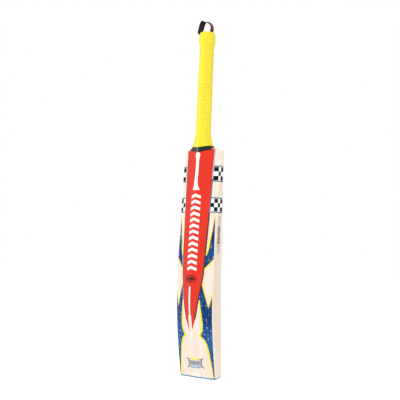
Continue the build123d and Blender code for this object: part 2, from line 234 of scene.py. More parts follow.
def gloss_tape():
    """Black electrician's tape with stretch marks along the band."""
    f = Finish("tape_black", 0.24, coat=0.4)
    stretch = f.noise((90.0, 90.0, 700.0), detail=3.0)
    f.paint(f.mix(stretch, colour(8, 8, 10), colour(21, 21, 24)))
    f.rough(f.ramp(stretch, (0.3, 0.18), (0.7, 0.36)))
    f.bump(stretch, 0.0003, 0.5)
    return f.material


def webbing(name, warp, weft, gloss=0.5):
    """Woven strap: a plain weave of two threads with a soft sheen."""
    f = Finish(name, gloss, specular=0.25, sheen=0.08)
    bands = {}
    for axis in ("X", "Z"):
        bands[axis] = f.node(
            "TexWave", {"Vector": f.place, "Scale": 330.0}, bands_direction=axis
        ).outputs["Fac"]
    weave = f.math("MULTIPLY", bands["X"], bands["Z"])
    fuzz = f.noise((1800.0, 1800.0, 1800.0), detail=3.0)
    f.paint(f.mix(f.math("MULTIPLY", weave, fuzz), warp, weft))
    f.bump(weave, 0.00025, 0.6)
    f.bump(fuzz, 0.0001, 0.4)
    return f.material


def rubber(name, dark, light, roughness=0.6):
    """Sheet rubber with a fine speckle."""
    f = Finish(name, roughness, specular=0.4)
    cloud = f.noise((45.0, 45.0, 45.0), detail=4.0)
    speckle = f.noise((2600.0, 2600.0, 2600.0), detail=2.0)
    f.paint(f.mix(f.ramp(cloud, (0.35, 0.0), (0.65, 1.0)), dark, light))
    f.rough(f.ramp(speckle, (0.3, roughness - 0.08), (0.7, roughness + 0.1)))
    f.bump(speckle, 0.00008, 0.5)
    return f.material


def twine():
    """Waxed twine wound close round the handle."""
    f = Finish("twine_waxed", 0.55, sheen=0.2)
    turns = f.node("TexWave", {"Vector": f.place, "Scale": 330.0}, bands_direction="Z").outputs["Fac"]
    fuzz = f.noise((900.0, 900.0, 2600.0), detail=3.0)
    f.paint(f.mix(f.math("MULTIPLY", turns, fuzz), colour(120, 92, 60), colour(214, 196, 160)))
    f.bump(turns, 0.0004, 0.8)
    return f.material


# ---------------------------------------------------------------- shape of the handle, as in the CAD

NECK_TOP = 600.0
NECK_HEIGHT = 44.0
NECK_FLARE = 6.6
NECK_CURL = 10.6
NECK_FORWARD = 6.0
NECK_RISE = 3.3
CORE_BOTTOM = (15.3, 16.2)
CORE_TOP = (14.3, 15.5)
HANDLE_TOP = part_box("cane_section_2")[1].z / MM
BINDING = 0.8
GRIP_WALL = 2.0
GRIP_FOOT_WALL = 1.0
GRIP_FOOT_HEIGHT = 22.0
CUFF_HEIGHT = 38.0
CUFF_SWELL = 2.7
CUFF_RISE = 11.0
RIM_TOP = 850.5
RIM_HEIGHT = 10.0
RIM_WIDTH = 5.6
RIB_DEPTH = 0.9
RIB_PITCH = 5.6 * MM
GRIP_FOOT = 550.0
RIB_PHASE = GRIP_FOOT * MM
TAPE_TOP = 563.2
TAPE_TOP_DROP = 6.8
TAPE_REACH = 26.0


def core_size(z):
    up = (z - NECK_TOP) / (HANDLE_TOP - NECK_TOP)
    return [low + (high - low) * up for low, high in zip(CORE_BOTTOM, CORE_TOP)]


def neck_oval(z, wall):
    """The handle's outside with a wall round it: half-width, its reach to face and spine, widest place."""
    down = max(0.0, (NECK_TOP - z) / NECK_HEIGHT)
    x, y = [size + BINDING + wall for size in core_size(max(z, NECK_TOP))]
    x += NECK_FLARE * down + NECK_CURL * down**4
    widest = NECK_FORWARD * down
    return x, y - widest, y + widest + NECK_RISE * down, widest


def arc_drop(y, drop):
    """How far an arc through the spine side, the middle and the face side has dropped at y."""
    radius = (TAPE_REACH**2 + drop**2) / (2 * drop)
    return radius - math.sqrt(radius**2 - y**2)


# ---------------------------------------------------------------- mesh helpers


def make_piece(name, points, faces, materials, slots=None, normals=None):
    """An object at the origin from points in metres, smooth shaded, with its own normals if given."""
    mesh = bpy.data.meshes.new(name)
    mesh.from_pydata(points, [], faces)
    for material in materials:
        mesh.materials.append(material)
    if slots:
        mesh.polygons.foreach_set("material_index", slots)
    mesh.polygons.foreach_set("use_smooth", [True] * len(mesh.polygons))
    mesh.update()
    if normals:
        mesh.normals_split_custom_set(normals)
    piece = bpy.data.objects.new(name, mesh)
    bpy.context.scene.collection.objects.link(piece)
    return piece


def spline(points, steps):
    """Catmull-Rom curve through points of any dimension."""
    ends = [points[0]] + list(points) + [points[-1]]
    curve = []
    for a, b, c, d in zip(ends, ends[1:], ends[2:], ends[3:]):
        for step in range(steps):
            t = step / steps
            curve.append([
                0.5 * (
                    2 * q
                    + (r - p) * t
                    + (2 * p - 5 * q + 4 * r - s) * t**2
                    + (3 * q - p - 3 * r + s) * t**3
                )
                for p, q, r, s in zip(a, b, c, d)
            ])
    curve.append(list(points[-1]))
    return curve


class Skin:
    """The outside of some CAD nodes, found by straight probes, with the CAD's smooth normals."""

    def __init__(self, names):
        self.points = []
        self.triangles = []
        self.normals = []
        for name in names:
            mesh = nodes[name].data
            start = len(self.points)
            self.points += [vertex.co.copy() for vertex in mesh.vertices]
            mesh.calc_loop_triangles()
            for triangle in mesh.loop_triangles:
                self.triangles.append([start + index for index in triangle.vertices])
                self.normals.append([mesh.corner_normals[index].vector.copy() for index in triangle.loops])
        self.tree = BVHTree.FromPolygons(self.points, self.triangles)

    def meet(self, start, heading):
        """The point where a probe first meets the skin, and the smooth normal there."""
        point, _, index, _ = self.tree.ray_cast(start, heading)
        if point is None:
            return None
        weights = poly_3d_calc([self.points[i] for i in self.triangles[index]], point)
        normal = sum((n * w for n, w in zip(self.normals[index], weights)), Vector())
        return point, normal.normalized()


handle_nodes = [f"cane_section_{n}" for n in range(1, 5)] + [f"rubber_spring_{n}" for n in range(1, 4)]
bat_skin = Skin(["blade", "toe_guard"] + handle_nodes)


def from_behind(x, z):
    """Where a probe going towards the face meets the back of the bat, x and z in mm."""
    return bat_skin.meet(Vector((x * MM, -1.0, z * MM)), Vector((0, 1, 0)))


def from_edge(y, z):
    """Where a probe from the +X side meets the edge of the bat."""
    return bat_skin.meet(Vector((1.0, y * MM, z * MM)), Vector((-1, 0, 0)))


# ---------------------------------------------------------------- sticker outlines, x and z in mm


def mirrored(points):
    return [(-x, z) for x, z in reversed(points)]


def eased(points, rounds=2):
    """An open line with its corners cut to a gentle curve."""
    for _ in range(rounds):
        cut = [points[0]]
        for (x0, z0), (x1, z1) in zip(points, points[1:]):
            cut.append((0.75 * x0 + 0.25 * x1, 0.75 * z0 + 0.25 * z1))
            cut.append((0.25 * x0 + 0.75 * x1, 0.25 * z0 + 0.75 * z1))
        points = cut + [points[-1]]
    return points


def ribbon(points, widths):
    """A band that lies to the right of a line of points, as wide as given at each point."""
    inner = []
    count = len(points)
    for i, (x, z) in enumerate(points):
        before = points[max(i - 1, 0)]
        after = points[min(i + 1, count - 1)]
        sides = []
        for start, end in ((before, (x, z)), ((x, z), after)):
            run = math.dist(start, end)
            if run > 0:
                sides.append(Vector((end[1] - start[1], start[0] - end[0])) / run)
        middle = sum(sides, Vector((0, 0))).normalized()
        reach = widths[i] / max(middle.dot(sides[0]), 0.35)
        inner.append((x + middle.x * reach, z + middle.y * reach))
    return list(points) + inner[::-1]


def box_outline(x0, x1, z0, z1):
    return [(x0, z0), (x1, z0), (x1, z1), (x0, z1)]


def oval_outline(x, z, x_radius, z_radius, start=0, end=360, count=28):
    turn = [math.radians(start + (end - start) * i / count) for i in range(count + (end - start < 360))]
    return [(x + x_radius * math.cos(a), z + z_radius * math.sin(a)) for a in turn]


def densified(outline, step):
    """The closed outline with extra points, so that no side is longer than step."""
    dense = []
    for (x0, z0), (x1, z1) in zip(outline, outline[1:] + outline[:1]):
        parts = max(1, math.ceil(math.dist((x0, z0), (x1, z1)) / step))
        dense += [(x0 + (x1 - x0) * i / parts, z0 + (z1 - z0) * i / parts) for i in range(parts)]
    return dense


def encloses(outline, x, z):
    inside = False
    for (x0, z0), (x1, z1) in zip(outline, outline[1:] + outline[:1]):
        if (z0 > z) != (z1 > z) and x < x0 + (z - z0) / (z1 - z0) * (x1 - x0):
            inside = not inside
    return inside


class Region:
    """A coloured area of a sticker: the first region that encloses a spot colours it."""

    def __init__(self, sticker, paint, outline):
        self.sticker = sticker
        self.paint = paint
        self.outline = densified(outline, 3.0)
        xs, zs = zip(*outline)
        self.low = (min(xs), min(zs))
        self.high = (max(xs), max(zs))

    def holds(self, x, z):
        if not (self.low[0] <= x <= self.high[0] and self.low[1] <= z <= self.high[1]):
            return False
        return encloses(self.outline, x, z)


LIFT = 0.35 * MM  # a sticker's thickness
TUCK = 0.1 * MM


def lay_stickers(regions, probe, step):
    """Cuts one flat net along every outline, drops it on the bat and makes a sheet for each sticker."""
    spots, edges = [], []
    for region in regions:
        first = len(spots)
        spots += region.outline
        count = len(region.outline)
        edges += [(first + i, first + (i + 1) % count) for i in range(count)]
    x_low, z_low = (min(region.low[i] for region in regions) for i in (0, 1))
    x_high, z_high = (max(region.high[i] for region in regions) for i in (0, 1))
    for column in range(int((x_high - x_low) / step[0]) + 1):
        for row in range(int((z_high - z_low) / step[1]) + 1):
            x = x_low + step[0] * (column + 0.5 * (row % 2))
            z = z_low + step[1] * row
            if any(region.holds(x, z) for region in regions):
                spots.append((x, z))
    flat, _, triangles, *_ = delaunay_2d_cdt([Vector(spot) for spot in spots], edges, [], 0, 0.01)
    sheets = {}
    for triangle in triangles:
        x, z = sum((flat[i] for i in triangle), Vector((0, 0))) / 3
        owner = next((region for region in regions if region.holds(x, z)), None)
        if owner and owner.sticker:
            sheets.setdefault(owner.sticker, []).append((triangle, owner.paint))
    landed = {}
    for name, cells in sheets.items():
        for triangle, _ in cells:
            for i in triangle:
                if i not in landed:
                    landed[i] = probe(*flat[i])
        cells = [cell for cell in cells if all(landed[i] for i in cell[0])]
        build_sheet(name, cells, landed)


def build_sheet(name, cells, landed):
    """One sticker: its printed top, and a thin rim that closes it down to the bat."""
    spot_points, faces, slots, normals = [], [], [], []
    index = {}
    materials = sorted({paint for _, paint in cells})
    sides = {}
    for triangle, paint in cells:
        face = []
        for i in triangle:
            if i not in index:
                index[i] = len(spot_points)
                point, normal = landed[i]
                spot_points.append(point + normal * LIFT)
            face.append(index[i])
        a, b, c = (spot_points[i] for i in face)
        flip = (b - a).cross(c - a).dot(landed[triangle[0]][1]) < 0
        order = (0, 2, 1) if flip else (0, 1, 2)
        faces.append([face[i] for i in order])
        slots.append(materials.index(paint))
        normals += [landed[triangle[i]][1] for i in order]
        ring = [triangle[i] for i in order]
        for start, end in zip(ring, ring[1:] + ring[:1]):
            sides[(start, end)] = materials.index(paint)
    for (start, end), slot in sides.items():
        if (end, start) not in sides:
            base = len(spot_points)
            for i, height in ((start, LIFT), (start, -TUCK), (end, -TUCK), (end, LIFT)):
                point, normal = landed[i]
                spot_points.append(point + normal * height)
            faces.append([base, base + 1, base + 2, base + 3])
            slots.append(slot)
            normals += [(0, 0, 0)] * 4
    piece = make_piece(name, spot_points, faces, [paints[m] for m in materials], slots, normals)
    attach(piece, BAT)
    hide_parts(name)
    return piece


# ---------------------------------------------------------------- the finishes

paints = {
    "red": vinyl("spine_red", colour(230, 54, 36), shade=0.92),
    "white": vinyl("print_white", colour(250, 250, 248), shade=0.97),
    "charcoal": vinyl("print_charcoal", colour(52, 56, 66)),
    "steel": vinyl("print_steel", colour(180, 198, 218), shade=0.9),
    "mark": vinyl("print_mark", colour(92, 26, 28)),
    "yellow": vinyl("flank_yellow", colour(248, 238, 8), shade=0.98),
    "lemon": vinyl("badge_lemon", colour(250, 241, 92), shade=0.98),
    "blue": splatter_vinyl(),
    "ink": vinyl("chequer_ink", colour(16, 18, 26), shade=0.8),
    "slate": vinyl("chequer_slate", colour(94, 108, 136)),
    "film": vinyl("clear_film", colour(243, 232, 216), roughness=0.3, shade=0.97),
    "grey": vinyl("print_grey", colour(96, 98, 108)),
    "pale": vinyl("badge_pale", colour(224, 224, 228), shade=0.95),
    "sky": vinyl("badge_sky", colour(150, 196, 232)),
}

willow = wood(
    "willow_clear",
    pale=colour(251, 240, 228),
    warm=colour(245, 226, 208),
    line=colour(222, 194, 164),
    ring_scale=34.0,
    streak_seed=(0.0, 3.0, 0.0),
)
cane = wood(
    "cane_pale",
    pale=colour(226, 196, 142),
    warm=colour(206, 172, 116),
    line=colour(150, 112, 66),
    ring_scale=160.0,
    streak_seed=(4.0, 0.0, 1.0),
)
spring_rubber = rubber("spring_black", colour(26, 24, 24), colour(44, 40, 38))
toe_rubber = rubber("toe_blue", colour(70, 140, 188), colour(96, 162, 206), 0.5)
carried = {"blade": willow, "twine_binding": twine(), "shoulder_tape": gloss_tape(), "toe_guard": toe_rubber}
for node_name in handle_nodes:
    carried[node_name] = cane if node_name.startswith("cane") else spring_rubber
for node_name, material in carried.items():
    nodes[node_name].data.materials.clear()
    nodes[node_name].data.materials.append(material)


# ---------------------------------------------------------------- stickers on the back

SPINE_SIDE = eased([
    (41.2, 560.0), (39.8, 500.0), (37.0, 400.0), (34.3, 318.0), (32.4, 272.0), (30.9, 242.0),
    (25.6, 207.0), (18.3, 161.0), (14.3, 143.0), (4.0, 111.5), (0.6, 96.0),
])
TAPE_BOTTOM = 552.5
TAPE_BOTTOM_DROP = 13.0


def spine_x(z):
    """Half-width of the spine sticker at height z."""
    for (x0, z0), (x1, z1) in zip(SPINE_SIDE, SPINE_SIDE[1:]):
        if z1 <= z <= z0:
            return x0 + (x1 - x0) * (z - z0) / (z1 - z0)
    return SPINE_SIDE[0][0]


def tape_foot(x):
    """Height on the back where the shoulder tape's lower edge crosses the place x."""
    landing = from_behind(x, 545.0)
    return TAPE_BOTTOM - arc_drop(landing[0].y / MM, TAPE_BOTTOM_DROP)


def spine_band(inset, top, bottom):
    """The spine sticker's outline drawn in by inset at both sides, between two heights."""
    heights = [z for _, z in SPINE_SIDE if bottom < z < top]
    side = [(spine_x(z) - inset, z) for z in [top] + heights + [bottom]]
    side = [(x, z) for x, z in side if x > 0.2]
    return side + mirrored(side)


SPINE_SHOULDER = 541.0  # above it the sticker's outline follows the tape
TAPE_OVERLAP = 0.3
CORNER_START = 32
CORNER_OVERLAP = 3.5  # the right corner runs further up than the rest
spine_half = [(spine_x(SPINE_SHOULDER), SPINE_SHOULDER)]
spine_half += [(x, z) for x, z in SPINE_SIDE if z < SPINE_SHOULDER]
spine_top = []
for x in range(-40, 41, 2):
    overlap = CORNER_OVERLAP if x > CORNER_START else TAPE_OVERLAP
    spine_top.append((x, tape_foot(x) + overlap))
spine_full = spine_half + mirrored(spine_half) + spine_top

# A white club down the spine: its knob, then its shaft down the right side and up the left
knob = [
    (-3.4, 530.0), (-5.8, 534.5), (-6.4, 540.0), (-3.4, 544.4),
    (1.4, 545.6), (5.4, 543.6), (6.6, 538.6), (4.8, 530.0),
]
shaft_right = [(4.8, 500.0), (4.2, 480.0), (4.8, 465.0), (10.3, 452.5)]
shaft_left = [(-9.8, 452.5), (-6.2, 462.0), (-4.6, 477.0), (-3.2, 500.0)]
club = knob + shaft_right + shaft_left
SLOT_TOP = 219.5
SLOT_FOOT = 108.0
SLOT_HALF = 2.6


def slot_outline(grow):
    """The slot with a round top, made wider by grow on each side."""
    width = SLOT_HALF + grow
    top = oval_outline(0, SLOT_TOP - SLOT_HALF, width, width, 0, 180, 10)
    return top + [(-width, SLOT_FOOT), (width, SLOT_FOOT)]


CHEVRON_COUNT = 13
CHEVRON_FIRST = 256.0
CHEVRON_PITCH = 14.6
CHEVRON_LEFT = -12.5
CHEVRON_TIP = 1.0
CHEVRON_RIGHT = 14.0
CHEVRON_RISE = 5.0
CHEVRON_HEIGHT = 7.2


def chevron(z):
    """A bent bar that points up, with its two ends at height z."""
    lower = [(CHEVRON_LEFT, z), (CHEVRON_TIP, z + CHEVRON_RISE), (CHEVRON_RIGHT, z)]
    return lower + [(x, height + CHEVRON_HEIGHT) for x, height in reversed(lower)]


RED_FOOT = 150.0  # below it the sticker is white, with two red points
POINT_FOOT = 112.0
SPINE_FOOT = 96.0
MARK_CENTRE = (-1.0, 237.0)
MARK_OVALS = ((8.2, 2.9, "red"), (10.4, 4.9, "mark"), (13.4, 7.0, "red"), (15.8, 9.4, "mark"))
LEFT_BORDER, RIGHT_BORDER = 2.2, 2.8

slot_border = box_outline(-SLOT_HALF - 1.3, SLOT_HALF + 1.3, SLOT_FOOT, RED_FOOT)
spine_parts = [("white", slot_border), ("charcoal", slot_outline(0.9)), ("white", club)]
for number in range(CHEVRON_COUNT):
    spine_parts.append(("white", chevron(CHEVRON_FIRST + CHEVRON_PITCH * number)))
spine_parts.append(("mark", box_outline(-12.6, 10.6, 234.8, 239.4)))
for x_radius, z_radius, paint in MARK_OVALS:
    spine_parts.append((paint, oval_outline(*MARK_CENTRE, x_radius, z_radius)))
left_line = [(-spine_x(z) + 1.2, z) for z in range(141, 572, 10)]
spine_parts.append(("charcoal", ribbon(left_line, [LEFT_BORDER] * len(left_line))))
for low, high, paint in ((141, 400, "charcoal"), (400, 480, "slate"), (480, 572, "steel")):
    right_line = [(spine_x(z) - 2.7, z) for z in range(low, high + 1, 2)]
    spine_parts.append((paint, ribbon(right_line, [RIGHT_BORDER] * len(right_line))))
for foot_x, turn in ((2.2, list), (3.7, mirrored)):
    outer_side = [(spine_x(RED_FOOT) - 1.6, RED_FOOT), (14.0, 143.0), (foot_x + 0.9, POINT_FOOT)]
    spine_parts.append(("red", turn(outer_side + [(foot_x, POINT_FOOT), (3.9, RED_FOOT)])))
spine_parts.append(("white", spine_band(0.0, RED_FOOT - 0.1, SPINE_FOOT)))
spine_parts.append(("red", spine_band(2.4, 575.0, RED_FOOT)))
spine_parts.append(("white", spine_full))

# The slot comes first and belongs to no sticker, so that bare wood shows in it
back_regions = [Region(None, "", slot_outline(0.0))]
back_regions += [Region("spine_sticker", paint, outline) for paint, outline in spine_parts]

UPPER_PANEL = [(49.2, 396.0), (50.6, 344.0), (52.4, 283.0), (31.6, 257.2), (32.4, 280.0), (33.7, 293.5)]
UPPER_TRIM = [(49.2, 396.0), (33.7, 293.5), (35.8, 294.5), (39.6, 308.0), (48.4, 380.0)]
UPPER_FOOT = [(52.4, 283.0), (52.4, 287.6), (31.6, 261.8), (31.6, 257.2)]
LOWER_TOP = [(29.6, 230.5), (43.6, 172.5), (51.4, 205.5)]
LOWER_INNER = [
    (46.1, 1.5), (41.8, 31.0), (37.1, 65.0), (33.7, 80.5), (28.2, 91.8),
    (17.9, 101.0), (25.4, 116.0), (26.9, 130.0), (24.5, 157.0), (22.1, 187.0),
]
LOWER_PANEL = LOWER_TOP + [(50.8, 66.0), (50.4, 1.5)] + LOWER_INNER + [(20.0, 200.0)]
yellow_top = ribbon(LOWER_TOP, [3.2, 1.6, 2.4])
yellow_inner = ribbon(LOWER_INNER, [2.6, 3.4, 3.8, 4.0, 4.2, 4.4, 4.2, 4.0, 3.6, 2.6])
for hand, turn in (("right", list), ("left", mirrored)):
    upper = f"flank_panel_upper_{hand}"
    lower = f"flank_panel_lower_{hand}"
    for name, paint, outline in (
        (upper, "yellow", UPPER_TRIM),
        (upper, "yellow", UPPER_FOOT),
        (upper, "blue", UPPER_PANEL),
        (lower, "yellow", yellow_top),
        (lower, "yellow", yellow_inner),
        (lower, "blue", LOWER_PANEL),
    ):
        back_regions.append(Region(name, paint, turn(outline)))
lay_stickers(back_regions, from_behind, (2.0, 5.0))


# ---------------------------------------------------------------- badge and label by the toe

BADGE_CENTRE = (-0.1, 34.2)
BADGE_TURN = math.radians(2.4)
BADGE_HALF = (26.2, 13.2)
FRAME_HALF = (19.6, 9.8)
BAR_COUNT = 9
BAR_PITCH = 3.6
BAR_HALF = (1.1, 2.9)
PALE_HALF = 17.6
PALE_BANDS = ((-8.5, -5.2), (-3.9, 3.9), (5.2, 8.5))


def on_badge(outline):
    """A badge outline about its own middle, turned and moved to its place."""
    c, s = math.cos(BADGE_TURN), math.sin(BADGE_TURN)
    return [(BADGE_CENTRE[0] + x * c - z * s, BADGE_CENTRE[1] + x * s + z * c) for x, z in outline]


badge_parts = [
    ("lemon", oval_outline(0.0, 12.2, 14.4, 5.4, 180, 360, 14)),
    ("sky", oval_outline(0.0, -12.6, 14.4, 4.2, 0, 180, 14)),
]
for side in (1, -1):
    for rise in (1, -1):
        spike = [(side * 17.0, rise * 9.4), (side * 26.0, rise * 13.0), (side * 19.4, rise * 6.4)]
        badge_parts.append(("charcoal", spike))
for number in range(BAR_COUNT):
    x = BAR_PITCH * (number - (BAR_COUNT - 1) / 2)
    bar = box_outline(x - BAR_HALF[0], x + BAR_HALF[0], -BAR_HALF[1], BAR_HALF[1])
    badge_parts.append(("charcoal", bar))
for low, high in PALE_BANDS:
    badge_parts.append(("pale", box_outline(-PALE_HALF, PALE_HALF, low, high)))
badge_parts.append(("charcoal", box_outline(-FRAME_HALF[0], FRAME_HALF[0], -FRAME_HALF[1], FRAME_HALF[1])))
badge_parts.append(("film", box_outline(-BADGE_HALF[0], BADGE_HALF[0], -BADGE_HALF[1], BADGE_HALF[1])))
badge_regions = [Region("toe_badge", paint, on_badge(outline)) for paint, outline in badge_parts]
badge_regions.append(Region("toe_label", "white", box_outline(-12.5, 12.5, 2.8, 9.6)))
lay_stickers(badge_regions, from_behind, (2.0, 4.0))


# ---------------------------------------------------------------- strip along the +X edge

strip_low, strip_high = (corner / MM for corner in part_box("edge_strip"))
STRIP_WIDTH = 14.0
STRIP_LEAN = (strip_high.y - STRIP_WIDTH - strip_low.y) / (strip_high.z - strip_low.z)
strip_regions = []


def strip_middle(z):
    """Middle of the strip at height z: it follows the lean of the edge."""
    return strip_high.y - STRIP_WIDTH / 2 - STRIP_LEAN * (z - strip_low.z)


def strip_box(z0, z1, half):
    """A piece of the strip between two heights, in y and z."""
    y0, y1 = strip_middle(z0), strip_middle(z1)
    return [(y0 - half, z0), (y0 + half, z0), (y1 + half, z1), (y1 - half, z1)]


STROKE_COUNT = 28
STROKE_PITCH = 3.3
STROKE_MARGIN = 4.0
FIRST_BOLD, LAST_WIDE = 7, 20
for number in range(STROKE_COUNT):
    z = strip_low.z + STROKE_MARGIN + STROKE_PITCH * number
    bold = FIRST_BOLD <= number < LAST_WIDE
    half = 5.6 if number < LAST_WIDE else 3.4
    thick = 1.8 + 0.4 * (number % 3) if bold else 1.2
    ink = "charcoal" if bold else "grey"
    strip_regions.append(Region("edge_strip", ink, strip_box(z, z + thick, half)))
whole_strip = strip_box(strip_low.z, strip_high.z, STRIP_WIDTH / 2 - 0.05)
strip_regions.append(Region("edge_strip", "film", whole_strip))
lay_stickers(strip_regions, from_edge, (2.5, 4.0))


# ---------------------------------------------------------------- chequer wraps round both edges

# Where the columns change, measured round the bat from where its back corner begins
SQUARES = {
    "upper_right": (-14.0, -1.0, 4.8),
    "upper_left": (-11.5, 2.6, 9.0),
    "lower_right": (-7.6, 1.3, 10.0),
    "lower_left": (-7.6, 1.3, 10.0),
}
WRAP_END = 24.0
CORNER_X = 52.0
WRAP_STEPS = 6
ROUND_CENTRE_X = 46.0
ROUND_STEP = 3  # degrees between the probes round the edge
PROBE_REACH = 0.2


def wrap_section(hand, z, start_x, end_y):
    """Points and normals along the bat's outside at height z, from the flank round to the edge."""
    landings = []
    x = start_x
    while x < ROUND_CENTRE_X:
        landings.append(from_behind(hand * x, z))
        x += 1.0
    low = from_behind(hand * ROUND_CENTRE_X, z)[0].y
    middle = Vector((hand * ROUND_CENTRE_X * MM, (low + end_y * MM) / 2, z * MM))
    for degrees in range(-90, 88, ROUND_STEP):
        angle = math.radians(degrees)
        out = Vector((hand * math.cos(angle), math.sin(angle), 0))
        landing = bat_skin.meet(middle + out * PROBE_REACH, -out)
        if landing[0].y < end_y * MM:
            landings.append(landing)
    return landings


def along(landings, distances, zero):
    """Landings resampled at distances along them, measured from the landing numbered zero."""
    runs = [0.0]
    for (a, _), (b, _) in zip(landings, landings[1:]):
        runs.append(runs[-1] + (b - a).length / MM)
    origin = runs[zero]
    sampled = []
    for distance in distances:
        at = min(max(distance + origin, 0.0), runs[-1])
        i = max(0, min(len(runs) - 2, next((k for k, run in enumerate(runs) if run > at), len(runs) - 1) - 1))
        t = (at - runs[i]) / max(runs[i + 1] - runs[i], 1e-6)
        point = landings[i][0].lerp(landings[i + 1][0], t)
        normal = landings[i][1].lerp(landings[i + 1][1], t).normalized()
        sampled.append((point, normal))
    return sampled


BORDER = 2.7
GAP = 0.5
SQUARE_ROWS = 3
ROW_PARTS = 3  # each row of squares is laid in this many strips
INNER_MARGIN = 1.2
for level in ("lower", "upper"):
    for hand_name, hand in (("right", 1), ("left", -1)):
        name = f"chequer_wrap_{level}_{hand_name}"
        low, high = (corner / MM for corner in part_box(name))
        square_height = (high.z - low.z - 2 * BORDER - 2 * GAP) / SQUARE_ROWS
        margin = [(BORDER, "slate"), (GAP, "white")]
        squares = [(square_height, row) for row in reversed(range(SQUARE_ROWS))]
        heights = [(low.z, None)]
        for size, row in margin + squares + margin[::-1]:
            parts = ROW_PARTS if isinstance(row, int) else 1
            for _ in range(parts):
                heights.append((heights[-1][0] + size / parts, row))
        changes = SQUARES[f"{level}_{hand_name}"]
        across = [changes[0] - INNER_MARGIN]
        for start, end in zip(changes, changes[1:] + (WRAP_END,)):
            across += [start + (end - start) * i / WRAP_STEPS for i in range(WRAP_STEPS)]
        across.append(WRAP_END)
        landed = {}
        cells = []
        for j, (z, row) in enumerate(heights):
            start_x = spine_x(z) + 0.3
            landings = wrap_section(hand, z, start_x, high.y)
            zero = next(i for i, (point, _) in enumerate(landings) if abs(point.x) >= CORNER_X * MM)
            row_landings = [landings[0]] + along(landings, across, zero)
            for i, landing in enumerate(row_landings):
                landed[(j, i)] = landing
            if j == 0:
                continue
            for i in range(len(row_landings) - 1):
                paint = row
                if isinstance(row, int):
                    column = sum(across[i - 1] >= change - 0.01 for change in changes) if i > 0 else 0
                    paint = "ink" if (row + column) % 2 else "white"
                corners = [(j - 1, i), (j - 1, i + 1), (j, i + 1), (j, i)]
                if (landed[corners[0]][0] - landed[corners[1]][0]).length > 1e-5:
                    cells.append((corners[:3], paint))
                    cells.append(([corners[0], corners[2], corners[3]], paint))
        build_sheet(name, cells, landed)


# ---------------------------------------------------------------- grip

GRIP_SIDES = 64
RING_STEP = 0.7
RIM_STEPS = 8
RIM_TURN = 73.0  # degrees that the rim rounds over
RIB_ROUNDNESS = 0.7
# Wall and drop below the rim's top, over the lip and down into the mouth
MOUTH_RINGS = ((-0.2, 0.35), (-0.6, 0.6), (-0.95, 1.1), (-1.1, 1.8), (-1.15, 5.0), (-1.15, 8.6))


def rib_at(z):
    """How far the ribs stand out from the sleeve's mean wall at height z."""
    crest = abs(math.sin(math.pi * (z * MM - RIB_PHASE) / RIB_PITCH)) ** RIB_ROUNDNESS
    return RIB_DEPTH * (crest - 0.5)


def grip_wall(z):
    """The sleeve's thickness over the bound handle at height z, with its ribs."""
    foot = min(1.0, max(0.0, (z - NECK_TOP + NECK_HEIGHT) / GRIP_FOOT_HEIGHT))
    wall = GRIP_FOOT_WALL + (GRIP_WALL - GRIP_FOOT_WALL) * foot
    rise = min(1.0, max(0.0, (z - RIM_TOP + CUFF_HEIGHT) / CUFF_RISE))
    wall += CUFF_SWELL * (1 - math.cos(math.pi * rise)) / 2
    return wall + rib_at(z)


grip_rings = []
ring_z = GRIP_FOOT
while ring_z < RIM_TOP - RIM_HEIGHT:
    grip_rings.append((ring_z, grip_wall(ring_z)))
    ring_z += RING_STEP
rim_middle = GRIP_WALL + CUFF_SWELL - RIM_WIDTH
for step in range(RIM_STEPS + 1):
    angle = math.radians(RIM_TURN * step / RIM_STEPS)
    fade = 1 - step / RIM_STEPS
    z = RIM_TOP - RIM_HEIGHT + RIM_HEIGHT * math.sin(angle)
    grip_rings.append((z, rim_middle + RIM_WIDTH * math.cos(angle) + rib_at(z) * fade))
for wall, drop in MOUTH_RINGS:
    grip_rings.append((RIM_TOP - drop, wall))

grip_points, grip_faces = [], []
tucked = []
for z, wall in grip_rings:
    x_radius, front, back, widest = neck_oval(min(z, HANDLE_TOP), wall)
    for side in range(GRIP_SIDES):
        angle = 2 * math.pi * side / GRIP_SIDES
        y = widest + (front if side < GRIP_SIDES / 2 else back) * math.sin(angle)
        foot = TAPE_TOP - arc_drop(y, TAPE_TOP_DROP) - 0.1
        tucked.append(z < foot)
        grip_points.append(Vector((x_radius * math.cos(angle), y, max(z, foot))) * MM)
for ring in range(len(grip_rings) - 1):
    for side in range(GRIP_SIDES):
        face = [ring * GRIP_SIDES + side, ring * GRIP_SIDES + (side + 1) % GRIP_SIDES]
        face += [face[1] + GRIP_SIDES, face[0] + GRIP_SIDES]
        if not all(tucked[i] for i in face):
            grip_faces.append(face)
grip = make_piece("grip_sleeve", grip_points, grip_faces, [grip_rubber()])
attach(grip, BAT)
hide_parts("grip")


# ---------------------------------------------------------------- hang loop

HINGE = 854.1
STRAP_HALF = 7.0
# Across the strap's outer face, with raised borders: place as a share of the half-width, height
strap_outer = [
    (-1.0, 0.0), (-0.96, 0.55), (-0.74, 0.72), (-0.7, 0.52),
    (0.0, 0.45), (0.7, 0.52), (0.74, 0.72), (0.96, 0.55),
]
strap_ring = strap_outer + [(-x, -height) for x, height in strap_outer]
